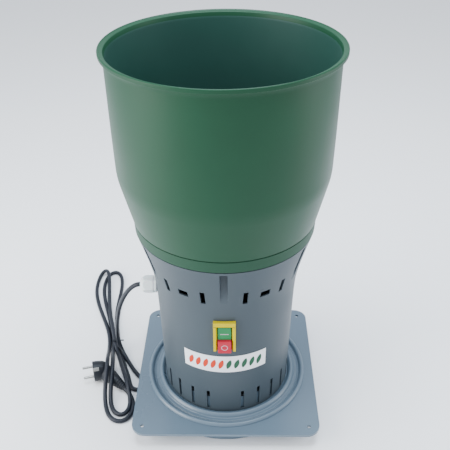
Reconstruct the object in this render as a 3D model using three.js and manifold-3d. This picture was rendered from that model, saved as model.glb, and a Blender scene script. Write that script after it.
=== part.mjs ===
// A small electric hammer mill for grain, in millimetres, +Z up, the switch facing -Y.
// z = 0 is the surface that the discharge skirt stands on, and the Z axis is the mill's own axis.
// From the top down: an open hopper lifts off a seat ring that carries a turning feed shutter, a
// waisted housing holds the motor and a feed chute, and a square base plate carries the milling
// chamber, where a disc with four swinging hammers runs inside a ring sieve.
import * as THREE from "three";
import { mergeVertices } from "three/addons/utils/BufferGeometryUtils.js";
import Module from "manifold-3d";

// ---- Driving dimensions -------------------------------------------------------------------
const GAP = 0.3; // between neighbouring pieces
const ROUND = 48; // facets round the large shells
const SMALL = 16; // facets round the small turned pieces

const PLATE_SIDE = 330;
const PLATE_CORNER = 24;
const PLATE_TOP = 34;
const PLATE_THICK = 5;
const PLATE_HOLE_R = 3.5;
const PLATE_HOLE_AT = 146.5;
const SKIRT_R = 147.5;
const SKIRT_WALL = 4;
const CHAMBER_R = 108; // inside of the base plate's upstanding collar
const CHAMBER_WALL = 3.5;
const CHAMBER_TOP = 66;

const HOUSING_WALL = 3.5;
const HOUSING_FOOT = 36.3;
const HOUSING_TOP = 369;
const HOUSING_LINE = [
  [116.6, HOUSING_FOOT],
  [118.9, 150],
  [120.2, 225],
  [123.6, 273],
  [132.6, 316],
  [147.6, HOUSING_TOP],
];
const SECTORS = 6; // the vents and screw pockets repeat round the housing
const VENT_TALL = [8, 27];
const VENT_WIDE = [17.5, 12];
const VENT_Z = 304.5;
const POCKET_WIDTH = 12;
const POCKET_FLOOR_R = 128;
const POCKET_TOP = 364;
const SLOT_COUNT = 24;
const SLOT_WIDTH = 6;
const SLOT_LOW = 41;
const SLOT_HIGH = 88;

const RING_LOW = 369.3;
const RING_HIGH = 389.7;
const RING_R = 149.4;
const FLOOR_TOP = 379;
const FEED_R = 79; // from the axis to the middle of the feed opening
const FEED_SIZE = [46, 20]; // round the axis and away from it
const HOPPER_LOW = 390;
const HOPPER_HIGH = 667.6;
const HOPPER_KNEE = 476;
const HOPPER_R = 169.6;
const RIM_R = 178;
const HOPPER_WALL = 3;

const MOTOR_R = 63;
const MOTOR_LOW = 92;
const MOTOR_HIGH = 250;
const SHAFT_R = 8;
const PLATE_STEEL_LOW = 66.3;
const PLATE_STEEL_THICK = 5;
const DISC_LOW = 40;
const DISC_THICK = 6;
const DISC_R = 66;
const HAMMER_COUNT = 4;
const HAMMER_PIN_AT = 56;
const HAMMER_LENGTH = 38;
const SIEVE_R = 95;
const SIEVE_LOW = 14;
const SIEVE_HIGH = 65.6;
const STUD_AT = 100.5;

const SWITCH_LOW = 191;
const SWITCH_HIGH = 254.4;
const SWITCH_WIDTH = 39;
const SWITCH_FACE_Y = -127.5;
const SWITCH_BAR = 8.8; // the bezel's top bar
const SWITCH_BACK_TOP = 247; // top of the switch body behind the bezel
const BUTTON_WIDTH = 22;
const BUTTON_SPLIT = 217; // where the start button ends and the stop button begins
const GLAND_Z = 234;
const CORD_R = 3.6;

// The cord's way from the gland down to the tied hank, in the part's own frame.
const LEAD = [
  [-151.3, 0, 234],
  [-159, 0, 234],
  [-175, 1, 231],
  [-190, 10, 215],
  [-193, 24, 196],
  [-195, 39, 177],
  [-198, 53, 158],
  [-203, 66, 138],
  [-209, 77, 117],
  [-215, 87, 96],
  [-220, 97, 75],
  [-224, 104, 52],
  [-227, 100, 29],
  [-227.5, 91, 17.4],
];

const wasm = await Module();
wasm.setup();

// ---- Small tools --------------------------------------------------------------------------
// A closed three.js geometry as a manifold-3d solid, with its shared vertices merged.
function solid(geometry) {
  const bare = geometry.clone();
  bare.deleteAttribute("normal");
  bare.deleteAttribute("uv");
  const merged = mergeVertices(bare, 1e-4);
  return new wasm.Manifold(
    new wasm.Mesh({
      numProp: 3,
      vertProperties: merged.attributes.position.array,
      triVerts: new Uint32Array(merged.index.array),
    }),
  );
}

// A manifold-3d solid back as a three.js geometry.
function geometryOf(body) {
  const mesh = body.getMesh();
  const geometry = new THREE.BufferGeometry();
  geometry.setAttribute("position", new THREE.BufferAttribute(mesh.vertProperties, 3));
  geometry.setIndex(new THREE.BufferAttribute(mesh.triVerts, 1));
  geometry.computeVertexNormals();
  return geometry;
}

// A profile of [radius, z] points turned about the Z axis.
function turned(profile, facets = ROUND) {
  const points = profile.map(([r, z]) => new THREE.Vector2(r, z));
  const first = points[0];
  const last = points[points.length - 1];
  if (first.x > 0 || last.x > 0) points.push(first.clone());
  const lathe = new THREE.LatheGeometry(points, facets);
  lathe.rotateX(Math.PI / 2);
  return solid(lathe);
}

// A ring of rectangular section.
function ring(inner, outer, low, high, facets = ROUND) {
  return turned([[inner, low], [outer, low], [outer, high], [inner, high]], facets);
}

// A plain disc or rod on the Z axis.
function disc(radius, low, high, facets = SMALL) {
  return turned([[0, low], [radius, low], [radius, high], [0, high]], facets);
}

// A box given by its centre and size.
function block(cx, cy, cz, sx, sy, sz) {
  return solid(new THREE.BoxGeometry(sx, sy, sz).translate(cx, cy, cz));
}

// An outline in the XY plane raised from one height to another.
function raised(shape, low, high, curveSegments = 8) {
  const geometry = new THREE.ExtrudeGeometry(shape, {
    depth: high - low,
    bevelEnabled: false,
    curveSegments,
  });
  return solid(geometry.translate(0, 0, low));
}

// A rectangle with round corners as an outline.
function roundedOutline(width, depth, radius) {
  const x = width / 2;
  const y = depth / 2;
  const shape = new THREE.Shape();
  shape.moveTo(-x + radius, -y);
  shape.lineTo(x - radius, -y);
  shape.absarc(x - radius, -y + radius, radius, -Math.PI / 2, 0);
  shape.lineTo(x, y - radius);
  shape.absarc(x - radius, y - radius, radius, 0, Math.PI / 2);
  shape.lineTo(-x + radius, y);
  shape.absarc(-x + radius, y - radius, radius, Math.PI / 2, Math.PI);
  shape.lineTo(-x, -y + radius);
  shape.absarc(-x + radius, -y + radius, radius, Math.PI, Math.PI * 1.5);
  return shape;
}

// A solid turned about the Z axis by an angle in degrees.
function swung(body, degrees) {
  return body.rotate([0, 0, degrees]);
}

// A solid joined to copies of itself turned evenly about the Z axis.
function around(body, count, skip = () => false) {
  let all = null;
  for (let i = 0; i < count; i += 1) {
    if (skip(i)) continue;
    const copy = swung(body, (360 / count) * i);
    all = all ? all.add(copy) : copy;
  }
  return all;
}

const root = new THREE.Group();

// One named mesh with its own material.
function part(name, body, color, roughness = 0.5, metalness = 0) {
  const material = new THREE.MeshStandardMaterial({ color, roughness, metalness });
  const mesh = new THREE.Mesh(geometryOf(body), material);
  mesh.name = name;
  root.add(mesh);
}

// ---- Base plate ---------------------------------------------------------------------------
function basePlate() {
  const outline = roundedOutline(PLATE_SIDE, PLATE_SIDE, PLATE_CORNER);
  const under = PLATE_TOP - PLATE_THICK;
  let plate = raised(outline, under, PLATE_TOP);
  plate = plate.subtract(disc(SKIRT_R - 8, under - 1, PLATE_TOP + 1, ROUND));
  for (const x of [-1, 1])
    for (const y of [-1, 1]) {
      const hole = disc(PLATE_HOLE_R, under - 1, PLATE_TOP + 1);
      plate = plate.subtract(hole.translate([x * PLATE_HOLE_AT, y * PLATE_HOLE_AT, 0]));
    }
  const collar = CHAMBER_R + CHAMBER_WALL;
  const mould = turned([
    [CHAMBER_R, under],
    [SKIRT_R - SKIRT_WALL, under],
    [SKIRT_R - SKIRT_WALL, 0],
    [SKIRT_R, 0],
    [SKIRT_R, PLATE_TOP],
    [148.6, 36.5],
    [146, 39],
    [142, 39],
    [139.2, 36.5],
    [138, 34.5],
    [136.6, 36],
    [128.6, 36],
    [127, 39.5],
    [123.4, 41.5],
    [119.4, 40],
    [117.4, 36],
    [collar, 36],
    [collar, CHAMBER_TOP],
    [CHAMBER_R, CHAMBER_TOP],
  ]);
  const notch = block(0, -CHAMBER_R - 1.5, CHAMBER_TOP, 11.6, 12, 2 * (CHAMBER_TOP - 36));
  const screwHole = disc(2.4, under - 1, 40).translate([0, -CHAMBER_R - 1, 0]);
  return plate.add(mould).subtract(around(notch.add(screwHole), 4));
}

// ---- Housing ------------------------------------------------------------------------------
function housingRadius(z) {
  for (let i = 1; i < HOUSING_LINE.length; i += 1) {
    const [r1, z1] = HOUSING_LINE[i];
    const [r0, z0] = HOUSING_LINE[i - 1];
    if (z <= z1) return r0 + ((r1 - r0) * (z - z0)) / (z1 - z0);
  }
  return HOUSING_LINE[HOUSING_LINE.length - 1][0];
}

// The housing's outer line, moved outwards by some distance.
function housingCurve(grow = 0) {
  const line = new THREE.SplineCurve(HOUSING_LINE.map(([r, z]) => new THREE.Vector2(r, z)));
  return line.getPoints(9).map((p) => [p.x + grow, p.y]);
}

// All that the housing's outer line encloses.
function housingBlank(grow = 0) {
  return turned([[0, HOUSING_FOOT], ...housingCurve(grow), [0, HOUSING_TOP]]);
}

function housing() {
  const outer = housingCurve();
  const inner = outer.map(([r, z]) => [r - HOUSING_WALL, z]).reverse();
  let shell = turned([...outer, ...inner]);

  const pocketWall = 3.5;
  const pocketLow = 302;
  const pocketBack = POCKET_FLOOR_R - pocketWall;
  const bossDeep = housingRadius(POCKET_TOP) - pocketBack - 2;
  const bossHigh = HOUSING_TOP - pocketLow;
  const boss = block(0, -pocketBack - bossDeep / 2, pocketLow + bossHigh / 2,
    POCKET_WIDTH + 2 * pocketWall, bossDeep, bossHigh);
  shell = shell.add(around(boss, SECTORS).intersect(housingBlank()));
  const pocket = block(0, -POCKET_FLOOR_R - 20, POCKET_TOP - 40, POCKET_WIDTH, 40, 80);
  const driver = disc(2.3, POCKET_TOP - 1, HOUSING_TOP + 1).translate([0, -137, 0]);
  shell = shell.subtract(around(pocket.add(driver), SECTORS));

  const [tallWide, tallHigh] = VENT_TALL;
  const [wideWide, wideHigh] = VENT_WIDE;
  const tall = block(0, -130, VENT_Z, tallWide, 40, tallHigh);
  const wide = block(0, -130, VENT_Z, wideWide, 40, wideHigh);
  const step = 360 / SECTORS / 4;
  const vents = swung(tall, step).add(swung(wide, 2 * step)).add(swung(tall, 3 * step));
  shell = shell.subtract(around(vents, SECTORS));

  const slotHigh = SLOT_HIGH - SLOT_LOW;
  const slot = block(0, -116, SLOT_LOW + slotHigh / 2, SLOT_WIDTH, 12, slotHigh);
  shell = shell.subtract(around(slot, SLOT_COUNT, (i) => i % 6 === 0));

  const foot = block(0, -109.6, 50.6, 9, 11, 28.6);
  const pilot = disc(1.9, 30, 58).translate([0, -CHAMBER_R - 1, 0]);
  shell = shell.add(around(foot, 4)).subtract(around(pilot, 4));

  const cutoutHigh = SWITCH_BACK_TOP - SWITCH_LOW + 1.4;
  const cutout = block(0, -118, (SWITCH_LOW + SWITCH_BACK_TOP) / 2, 30.8, 20, cutoutHigh);
  const glandHole = disc(10.4, -140, -100).rotate([0, 90, 0]).translate([0, 0, GLAND_Z]);
  return shell.subtract(cutout).subtract(glandHole);
}

// ---- Seat ring, feed shutter and hopper ---------------------------------------------------
function feedOpening(low, high, grow = 0) {
  const [across, deep] = FEED_SIZE;
  return block(0, FEED_R, (low + high) / 2, across + grow, deep + grow, high - low);
}

function seatRing() {
  const body = turned([
    [0, FLOOR_TOP - 3.5],
    [114, FLOOR_TOP - 3.5],
    [140.5, 386],
    [144.4, 386],
    [144.4, RING_LOW],
    [147.9, RING_LOW],
    [RING_R, RING_HIGH],
    [145.2, RING_HIGH],
    [145, 399],
    [142, 399],
    [142, 390.5],
    [116, FLOOR_TOP],
    [0, FLOOR_TOP],
  ]);
  const post = disc(4.6, RING_LOW, 386.5).translate([0, -137, 0]);
  const pilot = disc(2, RING_LOW - 1, 383).translate([0, -137, 0]);
  const pivot = disc(4.4, FLOOR_TOP - 9, FLOOR_TOP + 1);
  return body
    .add(around(post, SECTORS))
    .subtract(around(pilot, SECTORS))
    .subtract(pivot)
    .subtract(feedOpening(FLOOR_TOP - 9, FLOOR_TOP + 1));
}

// The shutter's own opening waits beside the feed opening while the shutter is shut.
function feedShutter() {
  const low = FLOOR_TOP + GAP;
  const leaf = ring(4.6, 110, low, low + 2.5);
  const open = swung(feedOpening(low - 1, low + 4), 50);
  const lip = block(0, -70, low + 12, 4, 36, 22);
  return leaf.subtract(open).add(swung(lip, 20));
}

function shutterBolt() {
  const low = FLOOR_TOP - 3.5 - GAP;
  return turned([
    [0, low - 5],
    [8, low - 5],
    [8, low],
    [4, low],
    [4, FLOOR_TOP + 3.2],
    [11, FLOOR_TOP + 3.2],
    [11, FLOOR_TOP + 6],
    [8, FLOOR_TOP + 9],
    [0, FLOOR_TOP + 9],
  ], SMALL);
}

function hopper() {
  const outer = [
    [149.6, HOPPER_LOW],
    [167.6, HOPPER_KNEE - 9],
    [169.1, HOPPER_KNEE],
    [HOPPER_R, HOPPER_KNEE + 12],
    [170.2, 600],
    [171.2, HOPPER_HIGH - 11],
    [172.6, HOPPER_HIGH - 7.4],
    [176, HOPPER_HIGH - 6.2],
  ];
  const rim = [
    [RIM_R, HOPPER_HIGH - 4.6],
    [RIM_R, HOPPER_HIGH - 2.4],
    [176.8, HOPPER_HIGH - 0.6],
    [174.8, HOPPER_HIGH],
    [171.6, HOPPER_HIGH - 1.6],
    [169.4, HOPPER_HIGH - 5.2],
  ];
  const inner = outer.slice(0, 6).map(([r, z]) => [r - HOPPER_WALL, z]).reverse();
  return turned([...outer, ...rim, ...inner]);
}

part("base_plate", basePlate(), 0x8595a0, 0.45);
part("housing", housing(), 0x6b777c, 0.5);
part("seat_ring", seatRing(), 0x3f6b4f, 0.4);
part("feed_shutter", feedShutter(), 0x9aa0a2, 0.35, 0.8);
part("shutter_bolt", shutterBolt(), 0xa8adb0, 0.3, 1);
part("hopper", hopper(), 0x3f6b4f, 0.4);

// ---- Fasteners ----------------------------------------------------------------------------
function ringScrew() {
  return turned([
    [0, POCKET_TOP - 3.3],
    [3.9, POCKET_TOP - 3.3],
    [3.9, POCKET_TOP - GAP],
    [1.7, POCKET_TOP - GAP],
    [1.7, 381],
    [0, 382.5],
  ], 16).translate([0, -137, 0]);
}

function baseScrew() {
  const under = PLATE_TOP - PLATE_THICK;
  return turned([
    [0, under - 3.3],
    [4, under - 3.3],
    [4, under - GAP],
    [1.6, under - GAP],
    [1.6, 55],
    [0, 57],
  ], 16).translate([0, -CHAMBER_R - 1, 0]);
}

for (let i = 0; i < SECTORS; i += 1)
  part(`ring_screw_${i + 1}`, swung(ringScrew(), 60 * i), 0xb0b4b6, 0.3, 1);
for (let i = 0; i < 4; i += 1)
  part(`base_screw_${i + 1}`, swung(baseScrew(), 90 * i), 0xb0b4b6, 0.3, 1);

// ---- Switch and label ---------------------------------------------------------------------
// The bezel is an upside-down U, so the stop button stands free at its foot.
function switchBezel() {
  const back = -118;
  const deep = back - SWITCH_FACE_Y;
  const middle = (back + SWITCH_FACE_Y) / 2;
  const high = SWITCH_HIGH - SWITCH_LOW;
  const frame = block(0, middle, SWITCH_LOW + high / 2, SWITCH_WIDTH, deep, high);
  const window = block(0, middle, SWITCH_LOW + high / 2 - SWITCH_BAR, BUTTON_WIDTH + 1.6, 20, high);
  return frame.subtract(window).subtract(housingBlank(GAP));
}

function switchBody() {
  const high = SWITCH_BACK_TOP - SWITCH_LOW;
  const middle = SWITCH_LOW + high / 2;
  const body = block(0, -97, middle, 30, 42, high + 0.8);
  const well = block(0, -114, middle - 1, BUTTON_WIDTH + 1, 28, high - 2.2);
  return body.subtract(well);
}

function pushButton(low, high, face) {
  const back = -106;
  const deep = back - face;
  return block(0, (back + face) / 2, (low + high) / 2, BUTTON_WIDTH, deep, high - low);
}

part("switch_bezel", switchBezel(), 0xf5d800, 0.35);
part("switch_body", switchBody(), 0x1c1d1f, 0.5);
const startButton = pushButton(BUTTON_SPLIT + GAP, SWITCH_BACK_TOP - 2.4, SWITCH_FACE_Y + 2);
const stopButton = pushButton(SWITCH_LOW + 0.4, BUTTON_SPLIT - 0.2, SWITCH_FACE_Y - 2.5);
part("start_button", startButton, 0x5fb07c, 0.4);
part("stop_button", stopButton, 0xd65a70, 0.4);

function labelPanel() {
  const half = THREE.MathUtils.degToRad(35.5);
  const low = 137;
  const high = 174;
  const far = 200;
  const wedge = new THREE.Shape();
  wedge.lineTo(-far * Math.sin(half), -far * Math.cos(half));
  wedge.lineTo(far * Math.sin(half), -far * Math.cos(half));
  const band = housingBlank(GAP + 0.6).subtract(housingBlank(GAP));
  return band.intersect(raised(wedge, low, high));
}

// ---- Cable gland --------------------------------------------------------------------------
// Gland pieces are turned on the Z axis and laid along -X.
function alongMinusX(body) {
  return body.rotate([0, -90, 0]).translate([0, 0, GLAND_Z]);
}

function hexagon(acrossCorners, low, high) {
  return disc(acrossCorners / 2, low, high, 6);
}

function glandBody() {
  const flange = hexagon(31, 121.6, 127);
  const thread = disc(9.8, 106, 133);
  return alongMinusX(flange.add(thread).subtract(disc(4.3, 100, 140)));
}

function glandNut() {
  const crown = turned([[0, 127.4], [16.2, 127.4], [16.2, 141], [13, 147], [8.5, 150.8], [0, 150.8]],
    6);
  const bore = turned([[0, 120], [10.2, 120], [10.2, 133.6], [4.3, 140], [4.3, 160], [0, 160]], SMALL);
  return alongMinusX(crown.subtract(bore));
}

function glandLocknut() {
  return alongMinusX(hexagon(29, 108.4, 113.4).subtract(disc(10.1, 100, 120)));
}

part("gland_body", glandBody(), 0xdde6e6, 0.4);
part("gland_nut", glandNut(), 0xdde6e6, 0.4);
part("gland_locknut", glandLocknut(), 0xdde6e6, 0.4);

// ---- Motor --------------------------------------------------------------------------------
function endShield(low, high, seatLow, seatHigh) {
  const cover = ring(SHAFT_R + 3, MOTOR_R, low, high, 32);
  const seat = ring(16.3, 20, seatLow, seatHigh, 24);
  return cover.add(seat);
}

const lowerShield = endShield(MOTOR_LOW - 6, MOTOR_LOW - GAP, MOTOR_LOW - 4, MOTOR_LOW + 10);
const upperShield = endShield(MOTOR_HIGH + GAP, MOTOR_HIGH + 6, MOTOR_HIGH - 10, MOTOR_HIGH + 4);

part("motor_casing", ring(MOTOR_R - 3, MOTOR_R, MOTOR_LOW, MOTOR_HIGH, 32), 0x8d9193, 0.45, 0.7);
part("motor_stator", ring(38, MOTOR_R - 3 - GAP, 112, 206, 32), 0x5c5f62, 0.5, 0.6);
part("motor_rotor", ring(SHAFT_R + GAP, 37.4, 112, 206, 32), 0x74777a, 0.4, 0.7);
part("motor_lower_shield", lowerShield, 0x9ba0a2, 0.45, 0.7);
part("motor_upper_shield", upperShield, 0x9ba0a2, 0.45, 0.7);
part("bearing_lower", ring(SHAFT_R + GAP, 16, MOTOR_LOW, MOTOR_LOW + 10, 24), 0xc9cccd, 0.2, 1);
part("bearing_upper", ring(SHAFT_R + GAP, 16, MOTOR_HIGH - 10, MOTOR_HIGH, 24), 0xc9cccd, 0.2, 1);
part("motor_shaft", turned([
  [0, 30],
  [6, 30],
  [6, DISC_LOW + DISC_THICK + 12],
  [SHAFT_R, DISC_LOW + DISC_THICK + 12],
  [SHAFT_R, MOTOR_HIGH + 24],
  [0, MOTOR_HIGH + 24],
], 24), 0xb9bcbe, 0.25, 1);

// Straight radial blades on a flat hub plate push air down over the motor.
function coolingFan() {
  const low = MOTOR_HIGH + 9;
  const plate = ring(SHAFT_R + GAP, 52, low, low + 2.5, 32);
  const hub = ring(SHAFT_R + GAP, 14, low, low + 14, 20);
  const blade = block(0, -32, low + 7.5, 2.2, 38, 13);
  return plate.add(hub).add(around(blade, 9));
}

part("cooling_fan", coolingFan(), 0x26282a, 0.5);

// The run capacitor stands beside the motor in its clip.
const CAPACITOR_AT = 62; // from the axis, both ways
const CAPACITOR_R = 17;

function capacitorClip() {
  const inside = CAPACITOR_R + GAP;
  const band = ring(inside, inside + 1.7, 150, 168, 24);
  const strap = block(-inside - 1.1, 0, 159, 3.4, 16, 18).rotate([0, 0, 45]);
  return band.add(strap).subtract(disc(inside, 140, 180, 24));
}

const beside = [CAPACITOR_AT, CAPACITOR_AT, 0];
const can = disc(CAPACITOR_R, 128, 208, 24);
part("run_capacitor", can.translate(beside), 0xd9dad6, 0.4);
part("capacitor_clip", capacitorClip().translate(beside), 0xa8adb0, 0.35, 0.9);

// ---- Milling chamber ----------------------------------------------------------------------
const STEEL_TOP = PLATE_STEEL_LOW + PLATE_STEEL_THICK;

// The steel plate closes the chamber, carries the motor on four posts and the sieve's three studs.
function chamberPlate() {
  let plate = disc(111, PLATE_STEEL_LOW, STEEL_TOP, ROUND);
  plate = plate.subtract(disc(SHAFT_R + 1.5, 60, 80));
  plate = plate.subtract(feedOpening(60, 80));
  plate = plate.subtract(around(block(0, -111, 66, 12, 10, 20), 4));
  const post = disc(6, STEEL_TOP - 1, MOTOR_LOW - 6 - GAP).translate([0, -50, 0]);
  const stud = disc(2.5, 2.4, PLATE_STEEL_LOW + 1, 16).translate([0, -STUD_AT, 0]);
  return plate.add(swung(around(post, 4), 45)).add(swung(around(stud, 3), 30));
}

const CHUTE_WALL = 2.4;

// A square duct from the seat ring down to the chamber plate.
function feedChute() {
  const low = STEEL_TOP + GAP;
  const high = FLOOR_TOP - 3.5 - GAP;
  return feedOpening(low, high, 2 * CHUTE_WALL).subtract(feedOpening(low - 1, high + 1));
}

// A flat frame holds the foot of the duct on the chamber plate.
function chuteFoot() {
  const low = STEEL_TOP + GAP;
  const hole = feedOpening(low - 1, low + 5, 2 * (CHUTE_WALL + GAP));
  return feedOpening(low, low + 2.4, 16).subtract(hole);
}

function hammerDisc() {
  const top = DISC_LOW + DISC_THICK;
  const plate = ring(6.3, DISC_R, DISC_LOW, top, 32);
  const hub = ring(6.3, 15, top - 1, top + 11.7, 20);
  const pin = disc(4, 24, DISC_LOW + 1, 12);
  const head = disc(6.5, 21, 24.5, 12);
  const pins = around(pin.add(head).translate([0, -HAMMER_PIN_AT, 0]), HAMMER_COUNT);
  return plate.add(hub).add(pins);
}

// A hammer is a flat steel bar with a round eye on its pin and a square outer end.
function hammer() {
  const low = 26;
  const high = 38;
  const eye = disc(10, low, high, 20);
  const bar = block(0, -HAMMER_LENGTH / 2 + 4, (low + high) / 2, 18, HAMMER_LENGTH - 8, high - low);
  const bore = disc(4.3, low - 1, high + 1, 16);
  return eye.add(bar).subtract(bore).translate([0, -HAMMER_PIN_AT, 0]);
}

part("chamber_plate", chamberPlate(), 0x9ea2a4, 0.35, 0.9);
part("feed_chute", feedChute(), 0x6b777c, 0.5);
part("chute_foot", chuteFoot(), 0x6b777c, 0.5);
part("hammer_disc", hammerDisc(), 0x9ea2a4, 0.3, 1);
part("disc_nut", hexagon(21, 31, DISC_LOW - GAP).subtract(disc(6.3, 20, 50)), 0xb0b4b6, 0.3, 1);
for (let i = 0; i < HAMMER_COUNT; i += 1)
  part(`hammer_${i + 1}`, swung(hammer(), (360 / HAMMER_COUNT) * i), 0x8b8f91, 0.3, 1);

// The retainer is a flat ring with three lugs, each held up by a wing nut on its stud.
function sieveRetainer() {
  const flat = ring(84, 98, SIEVE_LOW - GAP - 3, SIEVE_LOW - GAP, ROUND);
  const lug = block(0, -STUD_AT + 1, SIEVE_LOW - GAP - 1.5, 14, 12, 3);
  const clear = disc(3, 0, 20, 16).translate([0, -STUD_AT, 0]);
  return flat.add(swung(around(lug, 3), 30)).subtract(swung(around(clear, 3), 30));
}

function wingNut() {
  const top = SIEVE_LOW - 3 - 2 * GAP;
  const boss = disc(5, top - 5, top, 20);
  const wing = block(0, 0, top - 4.5, 22, 2.4, 7);
  return boss.add(wing).subtract(disc(2.8, 0, 20, 16));
}

part("sieve_ring", ring(SIEVE_R - 1.5, SIEVE_R, SIEVE_LOW, SIEVE_HIGH), 0xb4b8ba, 0.3, 1);
part("sieve_retainer", sieveRetainer(), 0x9ea2a4, 0.35, 1);
for (let i = 0; i < 3; i += 1) {
  const nut = wingNut().translate([0, -STUD_AT, 0]);
  part(`wing_nut_${i + 1}`, swung(nut, 30 + 120 * i), 0xb0b4b6, 0.3, 1);
}

part("label_panel", labelPanel(), 0xf2f3f3, 0.4);

// ---- Power cord and plug ------------------------------------------------------------------
function powerLead() {
  const way = new THREE.CatmullRomCurve3(LEAD.map((p) => new THREE.Vector3(...p)));
  const section = new THREE.Shape();
  section.absarc(0, 0, CORD_R, 0, Math.PI * 2);
  const tube = new THREE.ExtrudeGeometry(section, {
    steps: 18,
    extrudePath: way,
    curveSegments: 5,
    bevelEnabled: false,
  });
  return solid(tube);
}

// Outlines of the two looped ends of the tied hank, seen from above.
function frontLoopOutline() {
  const shape = new THREE.Shape();
  shape.moveTo(-247, 59);
  shape.lineTo(-238, 0);
  shape.lineTo(-233, -62);
  shape.absarc(-200, -88, 33, Math.PI * 0.92, Math.PI * 1.98, false);
  shape.lineTo(-167, -12);
  shape.quadraticCurveTo(-172, 22, -198, 59);
  return shape;
}

function backLoopOutline() {
  const shape = new THREE.Shape();
  shape.moveTo(-214, 60);
  shape.lineTo(-236, 150);
  shape.lineTo(-240, 300);
  shape.absarc(-276, 318, 36, -0.2, Math.PI * 1.05, false);
  shape.lineTo(-300, 232);
  shape.lineTo(-266, 150);
  shape.lineTo(-248, 60);
  return shape;
}

// The front loop climbs over the plug, so its side view is a low hump.
function humpOutline() {
  const shape = new THREE.Shape();
  shape.moveTo(-130, 0.2);
  shape.lineTo(70, 0.2);
  shape.lineTo(70, 20);
  shape.bezierCurveTo(52, 20, 34, 46, -4, 46);
  shape.bezierCurveTo(-40, 46, -44, 12, -72, 11);
  shape.lineTo(-130, 11);
  return shape;
}

const PLUG_AXIS = 16; // degrees that the plug's pins turn from -X towards -Y
const PLUG_AT = [-246, 1, 19.7];
const PIN_AT = 9.5; // each pin's distance from the plug's axis

// Room under the front loop for the plug's body, grip and tip.
function plugRoom() {
  const shape = new THREE.Shape();
  shape.moveTo(-275, 24);
  shape.lineTo(-222, 26);
  shape.lineTo(-196, -22);
  shape.lineTo(-204, -44);
  shape.lineTo(-222, -42);
  shape.lineTo(-244, -24);
  shape.lineTo(-275, -22);
  return raised(shape, -1, 40);
}

function frontLoop() {
  const side = new THREE.ExtrudeGeometry(humpOutline(), {
    depth: 140,
    bevelEnabled: false,
    curveSegments: 10,
  });
  side.rotateX(Math.PI / 2);
  side.rotateZ(Math.PI / 2);
  side.translate(-280, 0, 0);
  return raised(frontLoopOutline(), 0.2, 60, 12).intersect(solid(side)).subtract(plugRoom());
}

// Pieces of the plug are turned on the Z axis, then laid down with their pins towards -X.
function layPlug(body) {
  return body.rotate([0, -90, 0]).rotate([0, 0, PLUG_AXIS]).translate(PLUG_AT);
}

function plugBody() {
  const head = turned([
    [0, -16],
    [11, -15],
    [16, -10],
    [18, 0],
    [19.4, 8],
    [19.4, 15],
    [0, 15],
  ], 28);
  const grip = turned([[0, 0], [15.5, 0], [14, 14], [9.5, 32], [6, 47], [0, 47]], 20)
    .rotate([0, 104, 0])
    .rotate([0, 0, -50])
    .translate([PLUG_AT[0] + 4, PLUG_AT[1] + 1, PLUG_AT[2] - 1]);
  const hole = disc(2.7, 6, 20, 16).translate([0, PIN_AT, 0]);
  const bored = head.subtract(around(hole, 2));
  return layPlug(bored).add(grip.subtract(layPlug(disc(30, 5, 60, 24))));
}

function plugPin(side) {
  return layPlug(turned([[0, 6.3], [2.4, 6.3], [2.4, 33], [1.4, 34.2], [0, 34.2]], 16)
    .translate([0, PIN_AT * side, 0]));
}

part("power_lead", powerLead(), 0x2a303c, 0.45);
part("cord_hank_front", frontLoop(), 0x2a303c, 0.45);
part("cord_hank_back", raised(backLoopOutline(), 0.2, 14, 12), 0x2a303c, 0.45);
part("plug_body", plugBody(), 0x20242c, 0.5);
part("plug_pin_1", plugPin(1), 0xc9ccce, 0.25, 1);
part("plug_pin_2", plugPin(-1), 0xc9ccce, 0.25, 1);

export default root;
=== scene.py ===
# %% [markdown]
# # A small electric grain mill, dressed for its portrait
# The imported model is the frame: every size, place and moving body comes from it. This file adds
# what the frame leaves plain, which is smooth turned shells, moulded edges, a real cord and the
# finishes. Everything is in metres, and a length that is easier to read in millimetres is
# multiplied by MM.

# %% Load the frame
import math

import bpy
from mathutils import Matrix, Vector


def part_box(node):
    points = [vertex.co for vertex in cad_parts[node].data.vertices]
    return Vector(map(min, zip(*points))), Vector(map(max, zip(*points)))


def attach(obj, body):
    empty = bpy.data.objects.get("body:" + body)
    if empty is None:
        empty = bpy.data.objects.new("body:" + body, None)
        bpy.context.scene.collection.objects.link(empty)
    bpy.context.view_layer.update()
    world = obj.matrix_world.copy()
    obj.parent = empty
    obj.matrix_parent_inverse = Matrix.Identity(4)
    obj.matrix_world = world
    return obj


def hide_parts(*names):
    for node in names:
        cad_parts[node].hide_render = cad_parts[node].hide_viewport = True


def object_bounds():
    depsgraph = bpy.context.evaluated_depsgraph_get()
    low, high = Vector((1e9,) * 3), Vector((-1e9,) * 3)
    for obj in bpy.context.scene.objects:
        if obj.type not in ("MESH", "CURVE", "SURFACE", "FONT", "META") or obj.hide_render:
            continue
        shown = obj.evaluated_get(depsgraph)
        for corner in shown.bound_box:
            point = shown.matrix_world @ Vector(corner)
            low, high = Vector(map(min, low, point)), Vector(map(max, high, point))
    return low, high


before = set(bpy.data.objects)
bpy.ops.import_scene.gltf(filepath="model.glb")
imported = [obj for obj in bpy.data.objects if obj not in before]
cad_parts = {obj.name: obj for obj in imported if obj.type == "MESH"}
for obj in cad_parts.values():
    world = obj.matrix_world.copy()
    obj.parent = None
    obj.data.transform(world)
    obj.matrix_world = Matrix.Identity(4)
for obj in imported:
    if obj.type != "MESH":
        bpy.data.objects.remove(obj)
cad_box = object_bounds()
MM = 0.001
print("frame box:", [[round(c, 4) for c in corner] for corner in cad_box])

# %% [markdown]
# ## Camera
# The mill is seen from the front and from well above, so that the mouth of the hopper is an open
# ellipse. The camera could be aimed with a constraint, but three turns about its own axes are
# plain numbers that stay put: a small turn about Z, a tilt down, and a slight roll.

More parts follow.
